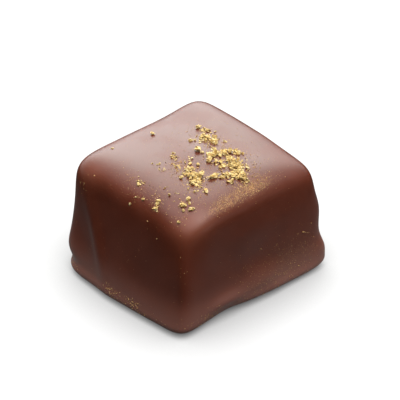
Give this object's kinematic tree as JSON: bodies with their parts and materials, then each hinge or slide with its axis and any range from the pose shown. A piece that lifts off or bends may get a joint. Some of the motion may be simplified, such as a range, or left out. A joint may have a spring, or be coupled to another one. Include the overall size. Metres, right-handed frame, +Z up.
{
  "type": "chocolate praline",
  "caption": "Square coated milk chocolate praline with soft rounded edges and walls that flare to a thin foot, its top scattered with gold crumbs.",
  "frame": {"origin": "middle of the outline, on the surface that the praline stands on", "axes": "+Z up; the corner nearest the viewer in the picture lies towards +X -Y, and the sides run along X and Y"},
  "size_m": [0.0272, 0.029, 0.0188],
  "materials": {
    "chocolate": "satin milk chocolate, smooth, with a soft even sheen",
    "gold": "edible gold crumbs and dust, bright on broken faces"
  },
  "bodies": {
    "root": {"praline": "chocolate"}
  },
  "joints": []
}
